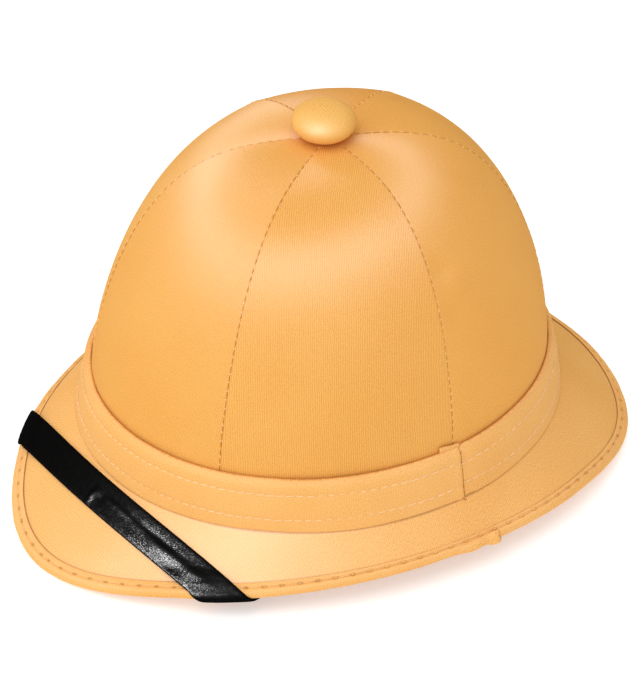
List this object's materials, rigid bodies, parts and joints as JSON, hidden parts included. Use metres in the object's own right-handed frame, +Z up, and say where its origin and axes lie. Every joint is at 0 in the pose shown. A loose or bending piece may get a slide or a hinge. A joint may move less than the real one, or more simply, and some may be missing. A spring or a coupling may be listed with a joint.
{
  "type": "pith helmet",
  "caption": "Cloth sun helmet with a gored dome, covered top button, flared band, sloping bound brim and a black strap across the front",
  "frame": {"origin": "on the floor below the middle of the hat's outline", "axes": "+Z up, the wearer faces -Y and has +X on the left"},
  "size_m": [0.2174, 0.2902, 0.1771],
  "materials": {
    "tan_cloth": "satin",
    "tan_trim": "satin",
    "black_strap": "satin"
  },
  "bodies": {
    "root": {"crown_gore_front": "tan_cloth", "crown_gore_front_left": "tan_cloth", "crown_gore_back_left": "tan_cloth", "crown_gore_back": "tan_cloth", "crown_gore_back_right": "tan_cloth", "crown_gore_front_right": "tan_cloth", "top_button": "tan_trim", "hat_band": "tan_trim", "band_join_tab": "tan_trim", "brim": "tan_cloth", "brim_binding": "tan_trim", "front_strap": "black_strap"}
  },
  "joints": []
}
